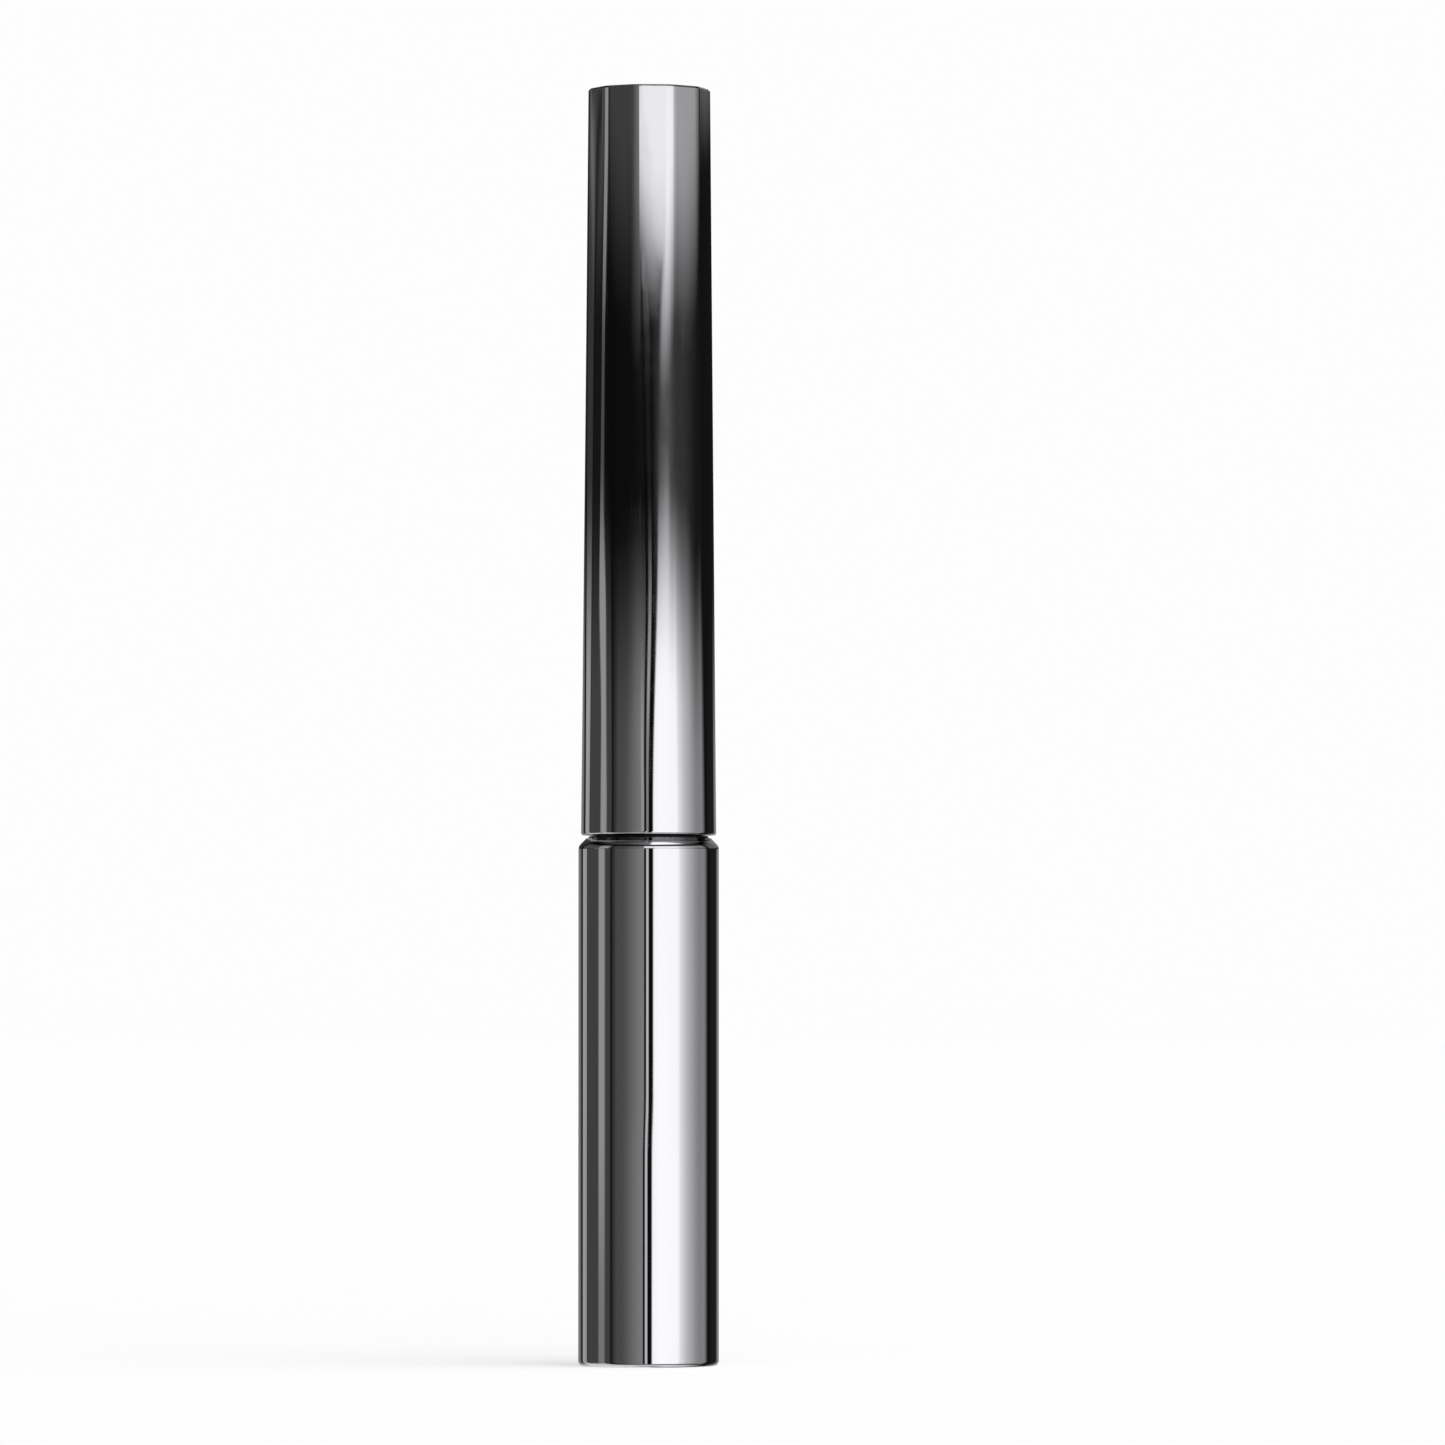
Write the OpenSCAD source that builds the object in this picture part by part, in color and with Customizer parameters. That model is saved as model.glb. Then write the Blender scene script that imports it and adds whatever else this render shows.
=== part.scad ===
// Slim mascara tube, closed and standing on its base.
// A mirror-finish outer tube holds an inner bottle with a screw neck and a wiper. The tall cap turns
// from round at its lip to faceted at its closed end, and carries a steel stem with a ringed applicator.
// Millimetres, +Z up, origin at the centre of the flat base. The neck has a right-hand thread.

/* [Tube] */
// Outer diameter of the tube
tube_d = 13.7; // [13.3:0.1:15]
// Height of the tube up to the flat top of its shoulder
tube_h = 51.3; // [48:0.05:56]
// Wall thickness of the tube
tube_wall = 0.95; // [0.85:0.05:1]
// Thickness of the tube's floor
tube_floor = 1.2; // [1:0.1:1.8]
// Height and width of the sloping shoulder
shoulder = 0.55; // [0.3:0.05:0.6]
// Radius that rounds the wall into the shoulder
shoulder_round = 0.8; // [0.3:0.1:1]
// Radius of the rounded edge around the base
base_round = 0.5; // [0.2:0.05:0.8]
// Diameter of the shallow seat for the base label
label_seat_d = 9.8; // [8:0.1:11]

/* [Bottle and wiper] */
// Wall thickness of the inner bottle
bottle_wall = 0.85; // [0.7:0.05:1]
// Outer diameter of the neck below its thread
neck_d = 8; // [8:0.1:8.2]
// Height of the neck above the bottle's shoulder
neck_h = 12.05; // [12:0.05:13]
// Bore of the neck, which holds the wiper
neck_bore_d = 6.5; // [6.2:0.1:6.6]
// Hole in the wiper, drawn at its spread size around the wand
wiper_hole_d = 3.6; // [3.6:0.02:3.8]
// Fill height of the mascara above the base
fill_h = 38; // [25:1:44]

/* [Thread] */
// Rise of the cap for one whole turn
thread_lead = 2; // [1.8:0.1:2.2]
// Number of turns before the cap comes free
thread_turns = 1.5; // [1:0.25:1.75]
// Height of the thread ridge
ridge_h = 0.55; // [0.45:0.05:0.6]
// Play between the crest of one thread and the root of the other
thread_play = 0.15; // [0.12:0.01:0.2]

/* [Cap] */
// Height of the cap
cap_h = 72.9; // [70:0.05:80]
// Outer diameter of the cap at its lip
cap_lip_d = 13.2; // [12.9:0.1:13.4]
// Outer diameter of the cap across its facet edges at the closed end
cap_top_d = 12; // [11.7:0.1:12.6]
// Gap between the tube's shoulder and the cap's lip
groove_h = 0.3; // [0.3:0.05:1]
// Number of flats around the cap
facets = 11; // [9:1:13]
// Depth of each flat at the closed end
facet_depth = 0.16; // [0.1:0.01:0.25]
// Height above the lip at which the flats begin
facet_start = 3.4; // [2:0.1:20]
// Direction in which the first flat faces
facet_turn = 275.3; // [240:0.1:280]
// Bore of the cap around the liner
cap_bore_d = 11.2; // [11.1:0.05:11.3]
// Bore of the cap around the weight
cap_top_bore_d = 9.7; // [9:0.1:9.9]

/* [Wand] */
// Diameter of the steel stem
stem_d = 3.36; // [3.3:0.02:3.4]
// Length of stem that shows below the cap's lip
stem_below = 18.1; // [12:0.1:20]
// Length of stem held inside the cap, measured from the lip
stem_above = 30.5; // [25:0.5:33]
// Length of the applicator with its domed tip
brush_l = 29; // [24:0.5:30]
// Diameter of the applicator at its domed end
brush_tip_d = 3.4; // [3.2:0.02:3.42]
// Diameter of the applicator where it meets the stem
brush_root_d = 3.24; // [3:0.02:3.36]
// Number of rings along the applicator
rings = 51; // [20:1:60]
// Depth of the groove between two rings
ring_depth = 0.16; // [0.05:0.01:0.3]

/* [Weight and washer] */
// Length of the weight in the cap
weight_l = 24; // [10:1:34]
// Thickness of the sealing washer
washer_t = 0.9; // [0.6:0.1:1]

/* [Hidden] */
$fn = 96;

// Gaps: press = between fixed pieces, run = between pieces that turn or slide on each other.
press = 0.02;
run = 0.08;

tube_r = tube_d / 2;
tube_bore_r = tube_r - tube_wall;
label_seat_h = 0.15;
label_t = 0.1;

bottle_r = tube_bore_r - 0.05;
bottle_in_r = bottle_r - bottle_wall;
bottle_floor_z = tube_floor + 1;
lip_z = tube_h + groove_h;
lip_gap = 0.1;
flange_z = lip_z - lip_gap;
neck_r = neck_d / 2;
neck_bore_r = neck_bore_d / 2;
neck_z = flange_z + neck_h;
bottle_shoulder_t = 1.6;

wiper_flange_t = 0.6;
wiper_l = 8.9;
wiper_wall = 0.65;
wiper_lip_t = 0.4;
washer_z = neck_z + wiper_flange_t + press;

ridge_root = 0.55;
ridge_crest = 0.25;
ridge_sink = 0.3;
ridge_steps = 32;
ridge_z = flange_z + 3.15;
liner_in_r = neck_r + ridge_h + thread_play;

top_z = lip_z + cap_h;
lip_r = cap_lip_d / 2;
top_r = cap_top_d / 2;
flat_start_z = lip_z + facet_start;
flat_start_r = cone_r(flat_start_z);
flat_top_r = top_r - facet_depth;
lip_round = 0.3;
top_bevel = 0.22;
cap_roof_t = 1.3;

liner_z = lip_z + 0.8;
liner_r = cap_bore_d / 2 - press;
liner_roof_z = washer_z + washer_t + 0.05;
liner_roof_t = 1.6;
liner_top_z = lip_z + 34.45;
liner_head_t = 1.2;
boss_r = 3;
boss_ribs = 6;
rib_t = 0.8;

stem_r = stem_d / 2;
stem_bore_r = stem_r - 0.43;
stem_low_z = lip_z - stem_below;
stem_top_z = lip_z + stem_above;
spigot_l = 6;

tip_z = stem_low_z - brush_l;
dome_h = 1.35;
brush_neck_l = 0.35;
ring_pitch = (brush_l - dome_h - brush_neck_l) / rings;

// Radius of the cap's cone at height z.
function cone_r(z) = lip_r + (top_r - lip_r) * (z - lip_z) / cap_h;

// Radius of the applicator over its ring crests at height z.
function brush_r(z) = (brush_tip_d + (brush_root_d - brush_tip_d) * (z - tip_z) / brush_l) / 2;

// Points of an arc from angle a0 to a1 about (x, y).
function arc(x, y, r, a0, a1, steps) =
    [for (i = [0 : steps]) let (a = a0 + (a1 - a0) * i / steps) [x + r * cos(a), y + r * sin(a)]];

// A helical ridge of trapezoid section. It stands between root radius r_root and crest radius r_crest,
// climbs one thread_lead each turn from height z0, and sinks into its wall at both ends.
module helix_ridge(r_root, r_crest, z0) {
    side = sign(r_crest - r_root);
    n = round(ridge_steps * thread_turns);
    fade = ridge_steps / 8;
    points = [
        for (i = [0 : n])
            let (a = 360 * i / ridge_steps,
                 z = z0 + thread_lead * i / ridge_steps,
                 full = min(1, i / fade, (n - i) / fade),
                 r_in = r_root - side * ridge_sink,
                 r_out = r_root - side * 0.05 + (r_crest - r_root + side * 0.05) * full,
                 c = cos(a), s = sin(a))
            each [[r_in * c, r_in * s, z - ridge_root],
                  [r_out * c, r_out * s, z - ridge_crest],
                  [r_out * c, r_out * s, z + ridge_crest],
                  [r_in * c, r_in * s, z + ridge_root]]
    ];
    skin = [
        for (i = [0 : n - 1], k = [0 : 3])
            let (a = 4 * i + k, b = 4 * i + (k + 1) % 4)
            each side > 0 ? [[a, b, a + 4], [b, b + 4, a + 4]]
                          : [[a, a + 4, b], [b, a + 4, b + 4]]
    ];
    last = 4 * n;
    ends = side > 0 ? [[0, 2, 1], [0, 3, 2], [last, last + 1, last + 2], [last, last + 2, last + 3]]
                    : [[0, 1, 2], [0, 2, 3], [last, last + 2, last + 1], [last, last + 3, last + 2]];
    polyhedron(points, concat(skin, ends), convexity = 6);
}

// Outer tube: round wall, closed floor, and a wall that rounds into a sloping shoulder.
module tube_shell() {
    slope_low_z = tube_h - shoulder;
    bend_z = slope_low_z - shoulder_round * sin(45);
    slope_high_r = tube_r - shoulder_round * (1 - cos(45)) - shoulder;
    color("dimgray")
    rotate_extrude()
    polygon(concat(
        [[0, label_seat_h], [label_seat_d / 2, label_seat_h], [label_seat_d / 2, 0]],
        arc(tube_r - base_round, base_round, base_round, -90, 0, 4),
        arc(tube_r - shoulder_round, bend_z, shoulder_round, 0, 45, 4),
        [[slope_high_r, tube_h], [tube_bore_r, tube_h],
         [tube_bore_r, tube_floor], [0, tube_floor]]));
}

// Blank round label in the seat under the base.
module base_label() {
    color("lightgray")
    translate([0, 0, label_seat_h - label_t])
    cylinder(h = label_t, r = label_seat_d / 2 - 0.2);
}

// Inner bottle: its black shoulder shows as the dark groove under the cap, and its neck is threaded.
module inner_bottle() {
    rim = 0.15;
    color("black")
    union() {
        rotate_extrude()
        polygon([
            [0, tube_floor], [bottle_r - rim, tube_floor], [bottle_r, tube_floor + rim],
            [bottle_r, flange_z], [neck_r, flange_z], [neck_r, neck_z - rim],
            [neck_r - rim, neck_z], [neck_bore_r, neck_z],
            [neck_bore_r, flange_z - 0.4],
            [bottle_in_r, flange_z - bottle_shoulder_t], [bottle_in_r, bottle_floor_z],
            [0, bottle_floor_z]]);
        helix_ridge(neck_r, neck_r + ridge_h, ridge_z);
    }
}

// Wiper: a flanged soft sleeve in the neck that ends in a thin coned lip.
module wiper() {
    r = neck_bore_r - press;
    low_z = neck_z + wiper_flange_t - wiper_l;
    hole_r = wiper_hole_d / 2;
    color("whitesmoke")
    rotate_extrude()
    polygon([
        [r - wiper_wall, neck_z + wiper_flange_t], [neck_r - 0.05, neck_z + wiper_flange_t],
        [neck_r - 0.05, neck_z], [r, neck_z], [r, low_z + 3],
        [hole_r + 0.5, low_z], [hole_r, low_z], [hole_r, low_z + wiper_lip_t],
        [r - wiper_wall, low_z + 3.4]]);
}

// The mascara itself, with the space that the wand fills at rest.
module mascara_formula() {
    space_r = brush_tip_d / 2 + 0.15;
    color("black")
    difference() {
        translate([0, 0, bottle_floor_z])
        cylinder(h = fill_h - bottle_floor_z, r = bottle_in_r - press);
        translate([0, 0, tip_z - 0.2 + space_r])
        cylinder(h = fill_h, r = space_r);
        translate([0, 0, tip_z - 0.2 + space_r])
        sphere(r = space_r);
    }
}

// Washer that seals the neck, loose on the stem.
module sealing_washer() {
    color("silver")
    translate([0, 0, washer_z])
    difference() {
        cylinder(h = washer_t, r = neck_r - 0.05);
        translate([0, 0, -1])
        cylinder(h = washer_t + 2, r = stem_r + run);
    }
}

// Polished steel tube that joins the applicator to the cap.
module stem() {
    edge = 0.12;
    color("silver")
    rotate_extrude()
    polygon([
        [stem_bore_r, stem_low_z], [stem_r - edge / 2, stem_low_z], [stem_r, stem_low_z + edge / 2],
        [stem_r, stem_top_z - edge], [stem_r - edge, stem_top_z], [stem_bore_r, stem_top_z]]);
}

// Ringed applicator with a domed tip and a spigot pressed into the stem.
module applicator() {
    ring_z = tip_z + dome_h;
    neck_low_z = stem_low_z - brush_neck_l;
    color("black")
    rotate_extrude()
    polygon(concat(
        [for (i = [0 : 8])
            let (a = -90 + 90 * i / 8)
            [brush_r(ring_z) * cos(a), ring_z + dome_h * sin(a)]],
        [for (i = [0 : rings - 1])
            let (z = ring_z + ring_pitch * i, r = brush_r(z))
            each [[r - ring_depth, z + 0.3 * ring_pitch], [r - ring_depth, z + 0.45 * ring_pitch],
                  [r - 0.02, z + 0.7 * ring_pitch], [r - 0.02, z + ring_pitch]]],
        [[brush_root_d / 2 - ring_depth, neck_low_z + 0.15],
         [brush_root_d / 2 - ring_depth, stem_low_z],
         [stem_bore_r - press, stem_low_z], [stem_bore_r - press, stem_low_z + spigot_l - 0.3],
         [stem_bore_r - 0.3, stem_low_z + spigot_l], [0, stem_low_z + spigot_l]]));
}

// Liner: threaded skirt for the neck, a ribbed boss for the stem and a head that meets the weight.
module cap_liner() {
    socket_r = stem_r + run / 2;
    lead_in = 0.3;
    color("gainsboro")
    difference() {
        union() {
            rotate_extrude()
            polygon([
                [0, liner_roof_z], [liner_in_r, liner_roof_z], [liner_in_r, liner_z + lead_in],
                [liner_in_r + lead_in, liner_z], [liner_r - 0.1, liner_z], [liner_r, liner_z + 0.1],
                [liner_r, liner_roof_z + liner_roof_t], [boss_r, liner_roof_z + liner_roof_t],
                [boss_r, liner_top_z - liner_head_t], [liner_r, liner_top_z - liner_head_t],
                [liner_r, liner_top_z], [0, liner_top_z]]);
            for (k = [0 : boss_ribs - 1])
                rotate([0, 0, 360 * k / boss_ribs])
                translate([boss_r - 0.5, -rib_t / 2, liner_roof_z + liner_roof_t - 0.2])
                cube([liner_r - boss_r + 0.2, rib_t,
                      liner_top_z - liner_head_t - liner_roof_z - liner_roof_t + 0.4]);
            helix_ridge(liner_in_r, liner_in_r - ridge_h, ridge_z + thread_lead / 2);
        }
        translate([0, 0, liner_roof_z - 1])
        cylinder(h = stem_top_z + 0.4 - liner_roof_z + 1, r = socket_r);
    }
}

// Steel weight bonded into the closed end of the cap.
module cap_weight() {
    edge = 0.4;
    r = cap_top_bore_d / 2 - press;
    color("gray")
    rotate_extrude()
    polygon([
        [0, liner_top_z], [r - edge, liner_top_z], [r, liner_top_z + edge],
        [r, liner_top_z + weight_l - edge], [r - edge, liner_top_z + weight_l],
        [0, liner_top_z + weight_l]]);
}

// Cap: a slim cone whose flats are cut ever deeper towards the closed end.
module cap_shell() {
    lean = atan((flat_start_r - flat_top_r) / (top_z - flat_start_z));
    color("dimgray")
    difference() {
        rotate_extrude()
        polygon(concat(
            [[cap_bore_d / 2, lip_z]],
            arc(lip_r - lip_round, lip_z + lip_round, lip_round, -90, 0, 4),
            [[top_r, top_z - top_bevel], [top_r - top_bevel, top_z], [0, top_z],
             [0, top_z - cap_roof_t], [cap_top_bore_d / 2, top_z - cap_roof_t],
             [cap_top_bore_d / 2, liner_top_z], [cap_bore_d / 2, liner_top_z]]));
        for (k = [0 : facets - 1])
            rotate([0, 0, facet_turn + 360 * k / facets])
            translate([flat_start_r, 0, flat_start_z])
            rotate([0, -lean, 0])
            translate([0, -lip_r, -1])
            cube([2, 2 * lip_r, cap_h + 1]);
    }
}

tube_shell();
base_label();
inner_bottle();
wiper();
mascara_formula();
sealing_washer();
stem();
applicator();
cap_liner();
cap_weight();
cap_shell();
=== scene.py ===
"""Slim mascara tube: polished gunmetal tube and facet-topped cap, with the steel wand and its ringed
applicator inside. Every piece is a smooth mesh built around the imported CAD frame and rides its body.

Shape functions work in millimetres, in the frame of the CAD; skin() turns them into metres."""
import math

import bmesh
import bpy
import numpy as np
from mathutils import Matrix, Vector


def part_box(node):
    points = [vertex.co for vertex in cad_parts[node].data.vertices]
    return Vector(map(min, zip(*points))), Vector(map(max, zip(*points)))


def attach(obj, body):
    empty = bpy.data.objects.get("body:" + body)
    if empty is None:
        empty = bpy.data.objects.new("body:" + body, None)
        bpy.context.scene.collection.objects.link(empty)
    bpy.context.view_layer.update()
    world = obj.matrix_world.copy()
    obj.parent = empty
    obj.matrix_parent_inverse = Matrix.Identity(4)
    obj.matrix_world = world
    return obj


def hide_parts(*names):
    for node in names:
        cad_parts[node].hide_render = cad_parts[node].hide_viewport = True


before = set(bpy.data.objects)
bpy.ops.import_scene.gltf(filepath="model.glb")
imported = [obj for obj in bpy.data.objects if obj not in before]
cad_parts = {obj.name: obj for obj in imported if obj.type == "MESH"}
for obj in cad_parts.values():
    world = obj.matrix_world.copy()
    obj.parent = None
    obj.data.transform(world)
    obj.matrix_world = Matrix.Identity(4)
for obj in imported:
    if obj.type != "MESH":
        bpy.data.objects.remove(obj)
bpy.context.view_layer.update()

MM = 0.001
# A smooth round surface stays this share of the CAD radius, inside the corners of the CAD's polygons.
SNUG = 0.9999
AROUND = 192

# ---------------------------------------------------------------- shape helpers


def extent(node):
    """(lowest z, highest z, outer radius) of a round CAD node, in mm."""
    low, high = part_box(node)
    return low.z / MM, high.z / MM, high.y / MM * SNUG


def rounded(corners, steps=8):
    """The profile through corners (r, z, rounding): each corner becomes an arc, held flat on both sides."""
    profile = []
    count = len(corners)
    for i, (r, z, size) in enumerate(corners):
        here = np.array([r, z], float)
        if size <= 0:
            profile.append(here)
            continue
        back = np.array(corners[i - 1][:2], float) - here
        ahead = np.array(corners[(i + 1) % count][:2], float) - here
        back_unit, ahead_unit = back / np.linalg.norm(back), ahead / np.linalg.norm(ahead)
        half = math.acos(np.clip(back_unit @ ahead_unit, -1, 1)) / 2
        reach = min(size / math.tan(half), 0.45 * np.linalg.norm(back), 0.45 * np.linalg.norm(ahead))
        size = reach * math.tan(half)
        bisector = (back_unit + ahead_unit) / np.linalg.norm(back_unit + ahead_unit)
        centre = here + bisector * size / math.sin(half)
        hold = 0.15 * reach
        first, last = here + back_unit * reach - centre, here + ahead_unit * reach - centre
        turn = math.pi - 2 * half
        profile.append(here + back_unit * (reach + hold))
        for k in range(steps + 1):
            t = k / steps
            blend = (math.sin((1 - t) * turn) * first + math.sin(t * turn) * last) / math.sin(turn)
            profile.append(centre + blend)
        profile.append(here + ahead_unit * (reach + hold))
    return [(max(0.0, float(r)), float(z)) for r, z in profile]


def rows(r_low, z_low, r_high, z_high, pitch):
    """Profile points in a straight line, no further apart in height than pitch."""
    count = max(1, math.ceil(abs(z_high - z_low) / pitch))
    return [(r_low + (r_high - r_low) * k / count, z_low + (z_high - z_low) * k / count)
            for k in range(count + 1)]


def skin(name, rings, cyclic):
    """A closed mesh through rings of points in mm, each ring as long as the last or a single point."""
    starts = np.cumsum([0] + [len(ring) for ring in rings])
    pairs = [(i, i + 1) for i in range(len(rings) - 1)] + ([(len(rings) - 1, 0)] if cyclic else [])
    faces = []
    for a, b in pairs:
        count = max(len(rings[a]), len(rings[b]))
        for k in range(count):
            n = (k + 1) % count
            corners = [starts[a] + k % len(rings[a]), starts[a] + n % len(rings[a]),
                       starts[b] + n % len(rings[b]), starts[b] + k % len(rings[b])]
            faces.append(tuple(dict.fromkeys(int(c) for c in corners)))
    mesh = bpy.data.meshes.new(name)
    mesh.from_pydata((np.concatenate(rings) * MM).tolist(), [], faces)
    shell = bmesh.new()
    shell.from_mesh(mesh)
    bmesh.ops.recalc_face_normals(shell, faces=shell.faces)
    shell.to_mesh(mesh)
    shell.free()
    mesh.shade_smooth()
    mesh.set_sharp_from_angle(angle=math.radians(40))
    piece = bpy.data.objects.new(name, mesh)
    bpy.context.scene.collection.objects.link(piece)
    weighted = piece.modifiers.new("flat faces stay flat", "WEIGHTED_NORMAL")
    weighted.keep_sharp = True
    return piece


def turned(name, profile, around=AROUND, relief=None):
    """A turned piece: profile points (r, z) swept round Z. relief(angles, r, z) adds to the radius."""
    angles = np.arange(around) * 2 * math.pi / around
    rings = []
    for r, z in profile:
        if r < 1e-6:
            rings.append(np.array([[0.0, 0.0, z]]))
            continue
        radius = r + (relief(angles, r, z) if relief else 0.0) * np.ones(around)
        rings.append(np.column_stack([radius * np.cos(angles), radius * np.sin(angles),
                                      np.full(around, z)]))
    return skin(name, rings, cyclic=len(rings[0]) > 1)


def soft_min(a, b, width):
    """The lesser of a and b, with the change from one to the other spread over width."""
    near = np.clip(width - np.abs(a - b), 0, None) / width
    return np.minimum(a, b) - near * near * width / 4


def thread(angles, z, start_z, lead, turns):
    """How far a helical ridge stands at each angle at height z, from 0 at its root to 1 at its crest."""
    root_half, crest_half, fade = 0.55, 0.25, math.pi / 4
    level = np.zeros_like(angles)
    for lap in range(math.ceil(turns) + 1):
        along = angles + 2 * math.pi * lap
        centre = start_z + lead * along / (2 * math.pi)
        flank = np.clip((root_half - np.abs(z - centre)) / (root_half - crest_half), 0, 1)
        end = np.clip(np.minimum(along, 2 * math.pi * turns - along) / fade, 0, 1)
        level = np.maximum(level, flank * end)
    return level * level * (3 - 2 * level)


# ---------------------------------------------------------------- measures from the frame

TUBE_LOW, TUBE_HIGH, TUBE_R = extent("tube_shell")
BOTTLE_LOW, NECK_HIGH, BOTTLE_R = extent("inner_bottle")
LABEL_LOW, LABEL_HIGH, LABEL_R = extent("base_label")
WIPER_LOW, WIPER_HIGH, WIPER_R = extent("wiper")
FORMULA_LOW, FORMULA_HIGH, FORMULA_R = extent("mascara_formula")
WASHER_LOW, WASHER_HIGH, WASHER_R = extent("sealing_washer")
STEM_LOW, STEM_HIGH, STEM_R = extent("stem")
TIP_LOW, SPIGOT_HIGH, BRUSH_R = extent("applicator")
LINER_LOW, LINER_HIGH, LINER_R = extent("cap_liner")
WEIGHT_LOW, WEIGHT_HIGH, WEIGHT_R = extent("cap_weight")
LIP_Z, CAP_TOP, LIP_R = extent("cap_shell")

GROOVE_FLOOR = LIP_Z - 0.1
NECK_R = 4.0 * SNUG
NECK_BORE_R = 3.25
RIDGE_H = 0.55
THREAD_LEAD = 2.0
THREAD_TURNS = 1.5
THREAD_Z = GROOVE_FLOOR + 3.15
# The threaded part of a profile is this much longer than its thread, and has a row every RIDGE_PITCH.
RIDGE_MARGIN = 0.6
RIDGE_PITCH = 0.06

# ---------------------------------------------------------------- tube and what stays in it


def build_tube_shell():
    """Rounded base edge with a seat for the label, straight wall, and a 45 degree shoulder."""
    bore_r, floor_z, seat_r, seat_z = 5.9, 1.2, 4.9, 0.15
    shoulder_r, base_round, bend_round = 6.066, 0.5, 0.8
    bend_z = TUBE_HIGH - (TUBE_R - shoulder_r)
    return turned("tube_shell_mirror", rounded([
        (0, seat_z, 0), (seat_r, seat_z, 0.04), (seat_r, TUBE_LOW, 0.05),
        (TUBE_R, TUBE_LOW, base_round), (TUBE_R, bend_z, bend_round), (shoulder_r, TUBE_HIGH, 0.05),
        (bore_r, TUBE_HIGH, 0.03), (bore_r, floor_z, 0.2), (0, floor_z, 0)], steps=14))


def build_base_label():
    """A thin round film that fills the seat under the base."""
    return turned("base_label_film", rounded([
        (0, LABEL_LOW, 0), (LABEL_R, LABEL_LOW, 0.03), (LABEL_R, LABEL_HIGH, 0.01), (0, LABEL_HIGH, 0)]))


def build_inner_bottle():
    """A round reservoir that rises to the groove's floor, with the threaded neck above it."""
    inner_r, inner_floor = 5.0, 2.2
    ridge_rows = rows(NECK_R, THREAD_Z - RIDGE_MARGIN, NECK_R,
                      THREAD_Z + THREAD_LEAD * THREAD_TURNS + RIDGE_MARGIN, RIDGE_PITCH)

    def ridge(angles, r, z):
        return RIDGE_H * thread(angles, z, THREAD_Z, THREAD_LEAD, THREAD_TURNS) if r == NECK_R else 0.0

    below = rounded([
        (0, BOTTLE_LOW, 0), (BOTTLE_R, BOTTLE_LOW, 0.15), (BOTTLE_R, GROOVE_FLOOR, 0.08),
        (NECK_R, GROOVE_FLOOR, 0.12), (NECK_R, THREAD_Z - 0.8, 0)])
    above = rounded([
        (NECK_R, ridge_rows[-1][1] + 0.2, 0), (NECK_R, NECK_HIGH, 0.15), (NECK_BORE_R, NECK_HIGH, 0.08),
        (NECK_BORE_R, GROOVE_FLOOR - 0.4, 0.4), (inner_r, GROOVE_FLOOR - 1.6, 0.6),
        (inner_r, inner_floor, 0.8), (0, inner_floor, 0)])
    return turned("inner_bottle_black", below + ridge_rows + above, relief=ridge)


def build_wiper():
    """A flange on the neck's rim and a sleeve that narrows to the wiping hole round the stem."""
    flange_low = NECK_HIGH
    sleeve_r, wall, hole_r = 3.23, 0.65, 1.8
    return turned("wiper_sleeve", rounded([
        (sleeve_r - wall, WIPER_HIGH, 0.12), (WIPER_R, WIPER_HIGH, 0.15), (WIPER_R, flange_low, 0.08),
        (sleeve_r, flange_low, 0.05), (sleeve_r, WIPER_LOW + 3, 0.8), (hole_r + 0.5, WIPER_LOW, 0.12),
        (hole_r, WIPER_LOW, 0.04), (hole_r, WIPER_LOW + 0.4, 0.1), (sleeve_r - wall, WIPER_LOW + 3.4, 0.8)]))


def build_formula():
    """The cream, dished at its walls, with the space that the applicator and stem fill at rest."""
    space_r, tip_z, dip = 1.85, TIP_LOW - 0.2, 0.35
    space = [(space_r * math.sin(a), tip_z + space_r - space_r * math.cos(a))
             for a in np.linspace(math.pi / 2, 0, 14)]
    surface = [(FORMULA_R, FORMULA_HIGH)]
    for t in np.linspace(0, 1, 25)[1:-1]:
        rise = max(math.exp(-t * 9), math.exp(-(1 - t) * 9))
        surface.append((FORMULA_R + (space_r - FORMULA_R) * t, FORMULA_HIGH - dip * (1 - rise)))
    return turned("mascara_cream", rounded([
        (0, FORMULA_LOW, 0), (FORMULA_R, FORMULA_LOW, 0.6), (FORMULA_R, FORMULA_HIGH - 0.5, 0)])
        + surface + [(space_r, FORMULA_HIGH)] + space)


def build_washer():
    """The loose sealing ring on the stem."""
    hole_r = 1.76
    return turned("sealing_washer_foam", rounded([
        (hole_r, WASHER_LOW, 0.06), (WASHER_R, WASHER_LOW, 0.12),
        (WASHER_R, WASHER_HIGH, 0.12), (hole_r, WASHER_HIGH, 0.06)]))


# ---------------------------------------------------------------- wand


def build_stem():
    """A thin steel tube with rounded ends."""
    bore_r = 1.25
    return turned("stem_polished", rounded([
        (bore_r, STEM_LOW, 0.03), (STEM_R, STEM_LOW, 0.07), (STEM_R, STEM_HIGH, 0.12),
        (bore_r, STEM_HIGH, 0.03)]), around=128)


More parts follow.
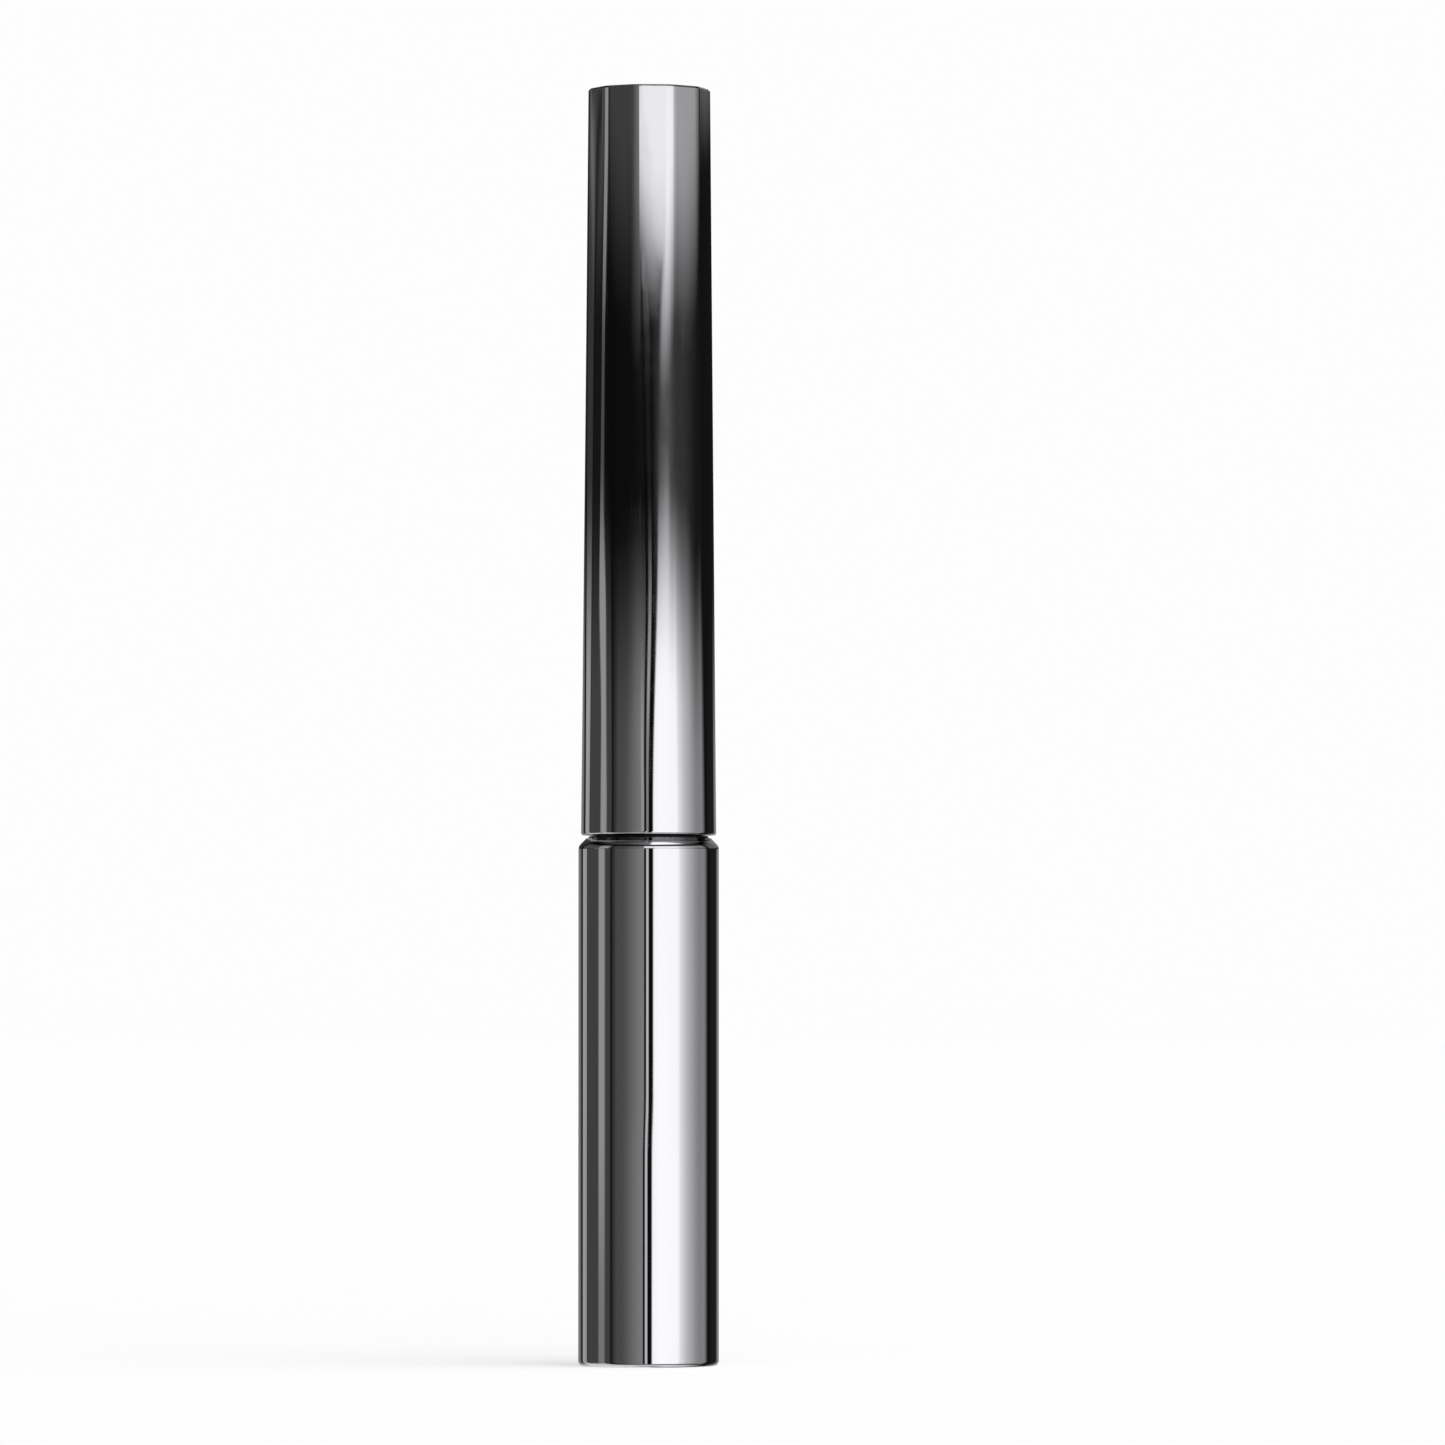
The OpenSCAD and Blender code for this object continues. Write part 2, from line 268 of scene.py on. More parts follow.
def build_applicator():
    """Domed tip, rounded rings with narrow grooves between them, a short neck and a spigot in the stem."""
    dome_h, neck_l, rings, depth = 1.35, 0.35, 51, 0.16
    tip_r, root_r = BRUSH_R, 1.62
    ring_low, neck_low = TIP_LOW + dome_h, STEM_LOW - neck_l
    pitch = (neck_low - ring_low) / rings
    per_ring = 14
    spigot_r, spigot_edge = 1.23, 0.3

    def crest(z):
        return tip_r + (root_r - tip_r) * (z - TIP_LOW) / (STEM_LOW - TIP_LOW) - 0.02

    dome = [(crest(ring_low) * math.sin(a), ring_low - dome_h * math.cos(a))
            for a in np.linspace(0, math.pi / 2, 20)]
    ringed = []
    for k in range(1, rings * per_ring + 1):
        z, phase = ring_low + pitch * k / per_ring, k / per_ring % 1
        groove = (0.5 + 0.5 * math.cos(2 * math.pi * (phase - 0.4))) ** 2
        ringed.append((crest(z) - (depth - 0.02) * groove, z))
    neck_r = root_r - depth
    neck = rounded([
        (crest(neck_low), neck_low, 0), (neck_r, neck_low + 0.12, 0.05), (neck_r, STEM_LOW - 0.01, 0),
        (spigot_r, STEM_LOW, 0), (spigot_r, SPIGOT_HIGH - spigot_edge, 0.1),
        (spigot_r - spigot_edge, SPIGOT_HIGH, 0.1), (0, SPIGOT_HIGH, 0)])
    return turned("applicator_ringed", dome + ringed + neck[1:], around=96)


# ---------------------------------------------------------------- cap

CAP_TOP_R = 6.0
FACETS = 11
FIRST_FACET = math.radians(275.3)
FLATS_LOW = LIP_Z + 3.4
FLAT_TOP_R = 5.84
EDGE_SOFTNESS = 0.06
CAP_BORE_R = 5.6
ROOF_CLEAR = 0.3


def cone_r(z):
    """The cap's radius across its facet edges at height z."""
    return LIP_R + (CAP_TOP_R - LIP_R) * (z - LIP_Z) / (CAP_TOP - LIP_Z)


def flat_relief(angles, r, z):
    """How far the cap's flats lie below its cone. They deepen and flatten towards the closed end, so
    the section turns smoothly from a circle into a polygon. The bores, up to ROOF_CLEAR below the
    closed end, and the lip stay round."""
    if (r <= CAP_BORE_R + 0.01 and z < CAP_TOP - ROOF_CLEAR) or z <= FLATS_LOW:
        return 0.0
    sector = 2 * math.pi / FACETS
    off_centre = (angles - FIRST_FACET + sector / 2) % sector - sector / 2
    section = soft_min(CAP_TOP_R, FLAT_TOP_R / np.cos(off_centre), EDGE_SOFTNESS)
    return (section - CAP_TOP_R) * (z - FLATS_LOW) / (CAP_TOP - FLATS_LOW)


def build_cap_shell():
    """One skin from the roof inside, down the bores, round the lip and up to the closed end."""
    lip_round, top_bevel, roof_t = 0.22, 0.2, 1.3
    top_bore_r, inner_top_rs = 4.85, (5.0, 4.5)
    roof_z, edge_z = CAP_TOP - roof_t, CAP_TOP - top_bevel
    inside_and_lip = rounded([
        (0, roof_z, 0), (top_bore_r, roof_z, 0.3), (top_bore_r, LINER_HIGH, 0.05),
        (CAP_BORE_R, LINER_HIGH, 0.1), (CAP_BORE_R, LIP_Z, 0.06), (LIP_R, LIP_Z, lip_round),
        (cone_r(LIP_Z + 1), LIP_Z + 1, 0)], steps=12)
    outside = rows(cone_r(LIP_Z + 1.2), LIP_Z + 1.2, cone_r(edge_z - 0.3), edge_z - 0.3,
                   0.7)
    edge = rounded([(cone_r(edge_z - 0.2), edge_z - 0.2, 0), (cone_r(edge_z), edge_z, 0.06),
                    (cone_r(edge_z) - top_bevel, CAP_TOP, 0.06), (inner_top_rs[0], CAP_TOP, 0)], steps=5)
    top = [(inner_top_rs[1], CAP_TOP), (0, CAP_TOP)]
    return turned("cap_shell_mirror", inside_and_lip + outside + edge + top,
                  around=FACETS * 44, relief=flat_relief)


def build_cap_liner():
    """Threaded skirt, a ribbed boss round the stem and the head that meets the weight."""
    inner_r, lead_in, roof_z, roof_t = 4.7, 0.3, WASHER_HIGH + 0.05, 1.6
    boss_r, head_t, ribs, socket_r = 3.0, 1.2, 6, 1.72
    rib_half_angle = 0.4 / 4.2
    socket_top = STEM_HIGH + 0.4
    roof_top, head_low = roof_z + roof_t, LINER_HIGH - head_t
    ridge_low = THREAD_Z + THREAD_LEAD / 2
    ridge_rows = rows(inner_r, ridge_low - RIDGE_MARGIN, inner_r,
                      ridge_low + THREAD_LEAD * THREAD_TURNS + RIDGE_MARGIN, RIDGE_PITCH)

    def relief(angles, r, z):
        if r == inner_r:
            return -RIDGE_H * thread(angles, z, ridge_low, THREAD_LEAD, THREAD_TURNS)
        if r == boss_r:
            sector = 2 * math.pi / ribs
            off_centre = np.abs((angles + sector / 2) % sector - sector / 2)
            return (LINER_R - boss_r) * (off_centre < rib_half_angle)
        return 0.0

    head = rounded([
        (0, LINER_HIGH, 0), (LINER_R, LINER_HIGH, 0.15), (LINER_R, head_low, 0.05),
        (boss_r + 0.01, head_low, 0)])
    skirt = rounded([
        (boss_r + 0.01, roof_top, 0), (LINER_R, roof_top, 0.1), (LINER_R, LINER_LOW, 0.1),
        (inner_r + lead_in, LINER_LOW, 0.05), (inner_r, LINER_LOW + lead_in, 0.05),
        (inner_r, LINER_LOW + 1, 0)])
    socket = rounded([
        (inner_r, ridge_rows[-1][1] + 0.3, 0), (inner_r, roof_z, 0.15), (socket_r, roof_z, 0.1),
        (socket_r, socket_top, 0.1), (0, socket_top, 0)])
    return turned("cap_liner_skirt",
                  head + [(boss_r, head_low - 0.01), (boss_r, roof_top + 0.01)]
                  + skirt + ridge_rows + socket, around=240, relief=relief)


def build_cap_weight():
    """A turned steel bar with a shallow tool groove in every millimetre and chamfered ends."""
    grooves, half_width, depth = 23, 0.12, 0.04
    turned_rings = []
    for k in range(1, grooves + 1):
        z = WEIGHT_LOW + k
        turned_rings += [(WEIGHT_R, z - half_width, 0), (WEIGHT_R - depth, z, 0),
                         (WEIGHT_R, z + half_width, 0)]
    return turned("cap_weight_turned", rounded([
        (0, WEIGHT_LOW, 0), (WEIGHT_R, WEIGHT_LOW, 0.4)] + turned_rings + [
        (WEIGHT_R, WEIGHT_HIGH, 0.4), (0, WEIGHT_HIGH, 0)]))


# ---------------------------------------------------------------- materials


class Surface:
    """A Principled material with short names for the nodes that give it its detail."""

    def __init__(self, name, **fixed):
        self.material = bpy.data.materials.new(name)
        self.material.use_nodes = True
        self.tree = self.material.node_tree
        self.bsdf = self.tree.nodes["Principled BSDF"]
        for socket, value in fixed.items():
            self.bsdf.inputs[socket.replace("_", " ")].default_value = value
        self.place = self.node("ShaderNodeTexCoord").outputs["Object"]
        # Patterns are given in features per mm.
        self.place = self.vector("SCALE", self.place, scale=1 / MM)

    def node(self, kind, **settings):
        node = self.tree.nodes.new(kind)
        for name, value in settings.items():
            setattr(node, name, value)
        return node

    def feed(self, socket, value):
        if isinstance(value, bpy.types.NodeSocket):
            self.tree.links.new(value, socket)
        else:
            socket.default_value = value

    def vector(self, operation, a, b=None, scale=None):
        node = self.node("ShaderNodeVectorMath", operation=operation)
        self.feed(node.inputs[0], a)
        if b is not None:
            self.feed(node.inputs[1], b)
        if scale is not None:
            self.feed(node.inputs["Scale"], scale)
        return node.outputs["Value" if operation == "LENGTH" else "Vector"]

    def math(self, operation, a, b=0.0):
        node = self.node("ShaderNodeMath", operation=operation)
        self.feed(node.inputs[0], a)
        self.feed(node.inputs[1], b)
        return node.outputs[0]

    def spread(self, value, low, high, to_low=0.0, to_high=1.0, smooth=True):
        """value from low to high, as to_low to to_high, and no further."""
        node = self.node("ShaderNodeMapRange",
                         interpolation_type="SMOOTHSTEP" if smooth else "LINEAR")
        for socket, amount in zip(node.inputs, (value, low, high, to_low, to_high)):
            self.feed(socket, amount)
        return node.outputs[0]

    def noise(self, scale, stretch=(1, 1, 1), detail=3.0, rough=0.55):
        node = self.node("ShaderNodeTexNoise")
        self.feed(node.inputs["Vector"], self.vector("MULTIPLY", self.place, stretch))
        for socket, amount in (("Scale", scale), ("Detail", detail), ("Roughness", rough)):
            node.inputs[socket].default_value = amount
        return node.outputs["Fac"]

    def cells(self, scale):
        node = self.node("ShaderNodeTexVoronoi")
        self.feed(node.inputs["Vector"], self.place)
        node.inputs["Scale"].default_value = scale
        return node.outputs["Distance"]

    def height(self):
        """Height above the base, in mm."""
        node = self.node("ShaderNodeSeparateXYZ")
        self.feed(node.inputs[0], self.place)
        return node.outputs["Z"]

    def from_axis(self):
        """Distance from the tube's axis, in mm."""
        return self.vector("LENGTH", self.vector("MULTIPLY", self.place, (1, 1, 0)))

    def near(self, heights, reach):
        """1 at each of these heights, falling to 0 at reach from it."""
        total = None
        for z in heights:
            gap = self.math("ABSOLUTE", self.math("SUBTRACT", self.height(), z))
            close = self.spread(gap, 0.0, reach, 1.0, 0.0)
            total = close if total is None else self.math("MAXIMUM", total, close)
        return total

    def tint(self, low, high, share):
        node = self.node("ShaderNodeMix", data_type="RGBA")
        self.feed(node.inputs["Factor"], share)
        self.feed(node.inputs[6], low if isinstance(low, bpy.types.NodeSocket) else (*low, 1))
        self.feed(node.inputs[7], high if isinstance(high, bpy.types.NodeSocket) else (*high, 1))
        return node.outputs[2]

    def finish(self, colour, roughness, relief, depth):
        """Wires colour, roughness and a bump of relief, which is depth mm deep from 0 to 1."""
        self.feed(self.bsdf.inputs["Base Color"], colour)
        self.feed(self.bsdf.inputs["Roughness"], roughness)
        bump = self.node("ShaderNodeBump")
        bump.inputs["Strength"].default_value = 1.0
        bump.inputs["Distance"].default_value = depth * MM
        self.feed(bump.inputs["Height"], relief)
        self.feed(self.bsdf.inputs["Normal"], bump.outputs[0])
        return self.material


def mirror_metal(name, edges, edge_r):
    """Polished gunmetal plating: long faint polishing waves, hairlines, a touch of haze, and rubbed edges,
    which lie at these heights and further out than edge_r."""
    s = Surface(name, Metallic=1.0)
    waves = s.noise(0.12, (1, 1, 0.25), detail=2)
    haze = s.spread(s.noise(0.35, detail=4), 0.35, 0.75)
    hairlines = s.spread(s.noise(5.0, (1, 1, 0.02), detail=1), 0.66, 0.74)
    at_edge = s.math("MULTIPLY", s.near(edges, 0.3), s.spread(s.from_axis(), edge_r, edge_r + 0.3))
    worn = s.math("MULTIPLY", at_edge, s.spread(s.noise(1.6, detail=4), 0.35, 0.6))
    plating = s.tint((0.335, 0.335, 0.352), (0.365, 0.365, 0.38), waves)
    colour = s.tint(plating, (0.55, 0.55, 0.555), s.math("MULTIPLY", worn, 0.5))
    roughness = s.math("ADD", s.math("MULTIPLY", haze, 0.014), 0.022)
    roughness = s.math("ADD", roughness, s.math("MULTIPLY", hairlines, 0.02))
    roughness = s.math("ADD", roughness, s.math("MULTIPLY", worn, 0.05))
    return s.finish(colour, roughness, waves, 0.0025)


def polished_steel(name):
    """Bright drawn tube with fine rings left by centreless grinding."""
    s = Surface(name, Metallic=1.0)
    rings = s.noise(9.0, (0.05, 0.05, 1), detail=2)
    mottle = s.noise(0.5, (1, 1, 0.3))
    colour = s.tint((0.60, 0.60, 0.61), (0.68, 0.68, 0.69), mottle)
    worn = s.near((STEM_LOW,), 0.25)
    roughness = s.math("ADD", s.spread(rings, 0.3, 0.7, 0.06, 0.12), s.math("MULTIPLY", worn, 0.1))
    return s.finish(colour, roughness, rings, 0.0006)


def turned_steel(name):
    """Zinc-plated turned bar: cloudy plating over feed marks."""
    s = Surface(name, Metallic=1.0)
    feed = s.noise(6.0, (0.05, 0.05, 1), detail=1)
    cloud = s.noise(0.9, detail=5)
    colour = s.tint((0.36, 0.36, 0.37), (0.52, 0.52, 0.53), cloud)
    return s.finish(colour, s.spread(cloud, 0.3, 0.7, 0.3, 0.5), feed, 0.01)


def gloss_black(name, edges):
    """Moulded gloss black plastic with slight flow ripples and scuffed edges."""
    s = Surface(name, Specular_IOR_Level=0.12)
    ripples = s.noise(0.7, (1, 1, 0.5), detail=2)
    scuffs = s.math("MULTIPLY", s.near(edges, 0.4), s.spread(s.noise(3.0, detail=4), 0.45, 0.65))
    colour = s.tint(s.tint((0.003, 0.003, 0.003), (0.008, 0.008, 0.009), ripples),
                    (0.02, 0.02, 0.02), s.math("MULTIPLY", scuffs, 0.6))
    roughness = s.math("ADD", s.spread(ripples, 0.3, 0.7, 0.16, 0.24), s.math("MULTIPLY", scuffs, 0.2))
    return s.finish(colour, roughness, ripples, 0.01)


def applicator_plastic(name):
    """Gloss black elastomer: shiny ring crests; the grooves are darker in colour and duller."""
    s = Surface(name, Specular_IOR_Level=0.5)
    grain = s.noise(6.0, detail=3)
    crest = s.spread(s.from_axis(), BRUSH_R - 0.17, BRUSH_R - 0.06)
    # The colour is darker in the grooves and lighter on the crests, set by distance from the axis.
    colour = s.tint((0.006, 0.006, 0.007), s.tint((0.016, 0.016, 0.018), (0.024, 0.024, 0.026), grain),
                    crest)
    roughness = s.math("ADD", s.spread(crest, 0.0, 1.0, 0.42, 0.2), s.spread(grain, 0.3, 0.7, 0.0, 0.06))
    return s.finish(colour, roughness, grain, 0.004)


def natural_plastic(name, low, high, edges):
    """Unpigmented moulded plastic: cloudy flow marks, fine orange peel, paler thin edges."""
    s = Surface(name, Subsurface_Weight=0.15, Subsurface_Scale=0.4 * MM, Specular_IOR_Level=0.45)
    flow = s.noise(0.5, (1, 1, 0.3), detail=4)
    peel = s.noise(7.0, detail=2)
    worn = s.math("MULTIPLY", s.near(edges, 0.35), 0.5)
    colour = s.tint(s.tint(low, high, flow), tuple(min(1.0, c * 1.15) for c in high), worn)
    return s.finish(colour, s.spread(peel, 0.3, 0.7, 0.36, 0.5), peel, 0.006)


def foam(name):
    """Closed-cell sealing foam: small cells in the cut faces, a paler outer rim."""
    s = Surface(name, Specular_IOR_Level=0.3)
    cells = s.cells(7.0)
    rim = s.spread(s.from_axis(), WASHER_R - 0.3, WASHER_R)
    # The outer rim is paler in colour, evenly all round.
    colour = s.tint(s.tint((0.50, 0.50, 0.48), (0.68, 0.68, 0.66), s.spread(cells, 0.0, 0.5)),
                    (0.74, 0.74, 0.72), s.math("MULTIPLY", rim, 0.6))
    return s.finish(colour, s.spread(cells, 0.0, 0.6, 0.75, 0.5), cells, 0.03)


def wet_cream(name):
    """Black mascara: glossy, with soft folds where the wand was drawn out."""
    s = Surface(name, Specular_IOR_Level=0.5, Coat_Weight=0.4)
    folds = s.noise(1.2, (1, 1, 0.6), detail=4)
    colour = s.tint((0.004, 0.0035, 0.004), (0.012, 0.011, 0.012), folds)
    return s.finish(colour, s.spread(folds, 0.3, 0.7, 0.12, 0.4), folds, 0.12)


def label_film(name):
    """Blank satin film: fine fibre in the stock and a slightly soiled rim."""
    s = Surface(name, Specular_IOR_Level=0.4)
    fibre = s.noise(8.0, (1, 0.35, 1), detail=4)
    rim = s.math("MULTIPLY", s.spread(s.from_axis(), LABEL_R - 0.5, LABEL_R),
                 s.spread(s.noise(1.2, detail=3), 0.4, 0.7))
    colour = s.tint(s.tint((0.74, 0.74, 0.74), (0.81, 0.81, 0.805), fibre), (0.5, 0.5, 0.49), rim)
    return s.finish(colour, s.spread(fibre, 0.3, 0.7, 0.38, 0.5), fibre, 0.003)


# ---------------------------------------------------------------- pieces on their bodies

# The heights of the edges that wear, and the radius that they lie outside of.
TUBE_EDGES, TUBE_EDGE_R = (TUBE_LOW, TUBE_HIGH), 5.9
CAP_EDGES, CAP_EDGE_R = (LIP_Z, CAP_TOP), 5.4
PIECES = [
    # builder, body, CAD node, material slot, finish
    (build_tube_shell, "tube", "tube_shell", "mirror_shell",
     mirror_metal("tube_mirror", TUBE_EDGES, TUBE_EDGE_R)),
    (build_base_label, "tube", "base_label", "label_film", label_film("blank_label_film")),
    (build_inner_bottle, "tube", "inner_bottle", "bottle_plastic",
     gloss_black("bottle_gloss_black", (GROOVE_FLOOR, NECK_HIGH))),
    (build_wiper, "tube", "wiper", "wiper_plastic",
     natural_plastic("wiper_soft_white", (0.68, 0.68, 0.66), (0.76, 0.76, 0.74), (WIPER_HIGH,))),
    (build_formula, "tube", "mascara_formula", "formula", wet_cream("wet_black_cream")),
    (build_washer, "washer", "sealing_washer", "washer_foam", foam("washer_closed_cell_foam")),
    (build_stem, "wand", "stem", "stem_steel", polished_steel("stem_ground_steel")),
    (build_applicator, "wand", "applicator", "applicator_black", applicator_plastic("applicator_black")),
    (build_cap_shell, "cap", "cap_shell", "mirror_shell", mirror_metal("cap_mirror", CAP_EDGES, CAP_EDGE_R)),
    (build_cap_liner, "cap", "cap_liner", "liner_plastic",
     natural_plastic("liner_natural_plastic", (0.50, 0.51, 0.51), (0.58, 0.59, 0.59), (LINER_LOW,))),
    (build_cap_weight, "cap", "cap_weight", "weight_steel", turned_steel("weight_turned_steel")),
]
for build, body, node, slot, finish in PIECES:
    piece = build()
    piece.data.materials.append(finish)
    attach(piece, body)
    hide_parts(node)

# ---------------------------------------------------------------- studio

# Brightness is as the polished tube shows it; METAL_SHARE is the part of the light that the metal returns.
METAL_SHARE = 0.35
# The plain background that the camera sees, and the light that comes from between the panels.
PAPER = 0.985
AMBIENT = 0.003
# How far the camera looks up, and so how far its reflections in upright walls rise with it.
LOOK_UP = 1.884
# Soft panels round the object, in degrees: 0 is behind the camera, + is to the camera's right.
# (what, from, softness of that edge, to, softness of that edge, brightness)
PANELS = [
    ("wall behind, left", -205, 8, -147, 10, 0.11),
    ("rim strip, left", -137.5, 3, -122, 3, 0.27),
    ("wall, left", -120, 4, -66, 3, 0.045),
    ("fill, far left", -59, 16, -7.0, 1.2, 0.06),
    ("fill, left", -25, 45, -7.0, 1.2, 0.135),
    ("centre strip", -3.5, 1.5, 0.3, 1.5, 0.47),
    ("key, whole", 8.0, 3.2, 109, 12, 0.20),
    ("key, to its far spill", 8.0, 3.2, 75, 40, 0.29),
    ("key, to its near spill", 8.0, 3.2, 58, 22, 0.27),
    ("key, bright part", 8.0, 3.2, 52, 6, 0.15),
    ("glow, right", 122, 6, 146, 4, 0.005),
    ("wall behind, right", 150, 8, 205, 8, 0.12),
]


def build_studio():
    """Soft panels in a ring with a dark gap just above the camera's level, a softbox overhead to the
    right, and a pale floor far below."""
    world = bpy.data.worlds.new("soft studio")
    bpy.context.scene.world = world
    world.use_nodes = True
    tree = world.node_tree
    tree.nodes.clear()

    def feed(socket, value):
        if isinstance(value, bpy.types.NodeSocket):
            tree.links.new(value, socket)
        else:
            socket.default_value = value

    def calc(operation, *values):
        """The sum, product or other result of two or more values."""
        result = values[0]
        for value in values[1:]:
            node = tree.nodes.new("ShaderNodeMath")
            node.operation = operation
            feed(node.inputs[0], result)
            feed(node.inputs[1], value)
            result = node.outputs[0]
        return result

    def step(value, at, softness, to_low=0.0, to_high=1.0):
        """to_low below at and to_high above it, with a soft change over softness."""
        node = tree.nodes.new("ShaderNodeMapRange")
        node.interpolation_type = "SMOOTHSTEP"
        limits = (value, at - softness / 2, at + softness / 2, to_low, to_high)
        for socket, amount in zip(node.inputs, limits):
            feed(socket, amount)
        return node.outputs[0]

    direction = tree.nodes.new("ShaderNodeSeparateXYZ")
    tree.links.new(tree.nodes.new("ShaderNodeTexCoord").outputs["Generated"], direction.inputs[0])
    x, y, z = direction.outputs
    around = calc("MULTIPLY", calc("ARCTAN2", x, calc("MULTIPLY", y, -1.0)), 180 / math.pi)
    elevation = calc("MULTIPLY", calc("ARCSINE", z, 0.0), 180 / math.pi)
    above = calc("SUBTRACT", elevation, LOOK_UP)

    # In the gap the panels near the camera stand further round to the right, and below further to the left.
    lean = calc("ADD", calc("MULTIPLY", step(above, 1.4, 1.5, 0.0, 6.6), step(above, 4.1, 0.4, 1.0, 0.0)),
                step(above, -2.5, 0.3, -2.0, 0.0))
    lean = calc("MULTIPLY", lean, step(around, -40, 30), step(around, 40, 30, 1.0, 0.0))
    along = calc("SUBTRACT", around, lean)
    ring = calc("ADD", *[
        calc("MULTIPLY", step(along, start, start_soft), step(along, end, end_soft, brightness, 0.0))
        for _, start, start_soft, end, end_soft, brightness in PANELS])
    # Just above the camera's level a thin line left of the centre strip takes part of the strip's light.
    taken = calc("MULTIPLY", step(above, -0.4, 0.6), step(above, 1.3, 0.8, 1.0, 0.0))
    line = calc("MULTIPLY", step(along, -12, 1.5), step(along, -8, 1.5, 0.1, 0.0))
    loss = calc("MULTIPLY", step(along, -3.5, 1.5), step(along, 0.3, 1.5, 0.26, 0.0))
    ring = calc("ADD", ring, calc("MULTIPLY", taken, calc("SUBTRACT", line, loss)))
    # The gap between the lower and the upper panels is widest to the left, and lowest behind the rims.
    low_edge = calc("ADD", 0.85, step(around, -135, 20, 0.0, 0.5), step(around, -95, 30, 0.0, 0.25),
                    step(around, 5, 25, 0.0, 0.45), step(around, 32, 25, 0.0, -0.4),
                    step(around, 81, 20, 0.0, -0.55), step(around, 106, 14, 0.0, -0.6))
    high_edge = calc("ADD", 3.55, step(around, -115, 40, 0.0, 0.35), step(around, -80, 25, 0.0, 0.3),
                     step(around, -45, 25, 0.0, -0.5), step(around, -5, 15, 0.0, 0.4),
                     step(around, 14, 10, 0.0, -0.45), step(around, 43, 25, 0.0, 0.26),
                     step(around, 98, 20, 0.0, 0.3))
    high_share = calc("ADD", step(around, -122, 8, 0.17, 1.3), step(around, -58, 8, 0.0, -0.46),
                      step(around, 0, 12, 0.0, 0.06))
    share = step(around, -92, 12, 0.1, 0.012)
    gap = calc("MAXIMUM", step(calc("SUBTRACT", above, low_edge), 0.0, 1.5, 1.0, share),
               step(calc("SUBTRACT", above, high_edge), 0.0, 1.4, share, high_share))
    glow = calc("MULTIPLY", step(around, 14, 14, 0.0, 0.055), step(around, 40, 30, 1.0, 0.38),
                step(around, 78, 20, 1.0, 0.1))
    # Above the gap the key starts further to the left.
    key_lead = calc("MULTIPLY", step(around, -7.5, 6), step(around, 20, 20, 1.0, 0.0),
                    step(above, 4.15, 1.0, 0.0, 0.75))
    reach = calc("MULTIPLY", step(elevation, 32, 16, 1.0, 0.0), step(elevation, -32, 14, 0.0, 1.0))
    panels = calc("MULTIPLY", calc("ADD", calc("MAXIMUM", calc("MULTIPLY", ring, gap), key_lead), glow,
                                   AMBIENT), reach)

    # A strip on the left that bows away to the left in the gap, and is dimmer there and low down.
    strip_left = calc("ADD", -90, step(above, 1.1, 0.9, 0.0, -12.5), step(above, 3.7, 1.3, 0.0, 11.5))
    strip_right = calc("ADD", -76.8, step(above, 1.75, 0.6, 0.0, -10.0), step(above, 3.75, 1.5, 0.0, 17.0))
    side_strip = calc("MULTIPLY", step(calc("SUBTRACT", around, strip_left), 0.0, 4.0),
                      step(calc("SUBTRACT", around, strip_right), 0.0, 5.0, 1.0, 0.0),
                      calc("MAXIMUM", step(above, 1.9, 0.7, 0.225, 0.06), step(above, 3.3, 0.9, 0.06, 0.20)),
                      step(above, -3.1, 1.4, 0.55, 1.0), reach)
    high_rim = calc("MULTIPLY", step(around, 120, 6), step(around, 150, 8, 0.08, 0.0),
                    step(above, 4.15, 0.7), step(elevation, 30, 16, 1.0, 0.0))
    # Overhead: a softbox to the right that ends above the object, and a ceiling that darkens to the left.
    softbox = calc("MULTIPLY", step(elevation, 58, 16), step(x, 0.05, 0.08), step(y, 0.07, 0.06, 1.0, 0.0))
    ceiling = calc("MULTIPLY", step(elevation, 52, 24, 0.0, 0.15), step(x, -0.2, 0.5, 0.3, 1.0))
    ground = step(calc("ADD", elevation, step(around, -75, 30, -24.0, 0.0)), -50, 30, 0.55, 0.0)
    ground = calc("MULTIPLY", ground, step(elevation, -78, 12, 0.3, 1.0))
    light = calc("DIVIDE", calc("ADD", panels, side_strip, high_rim, softbox, ceiling, ground), METAL_SHARE)

    lit = tree.nodes.new("ShaderNodeBackground")
    feed(lit.inputs["Color"], (0.985, 0.985, 0.975, 1.0))
    feed(lit.inputs["Strength"], light)
    paper = tree.nodes.new("ShaderNodeBackground")
    feed(paper.inputs["Color"], (PAPER, PAPER, PAPER, 1.0))
    mix = tree.nodes.new("ShaderNodeMixShader")
    feed(mix.inputs[0], tree.nodes.new("ShaderNodeLightPath").outputs["Is Camera Ray"])
    feed(mix.inputs[1], lit.outputs[0])
    feed(mix.inputs[2], paper.outputs[0])
    feed(tree.nodes.new("ShaderNodeOutputWorld").inputs["Surface"], mix.outputs[0])


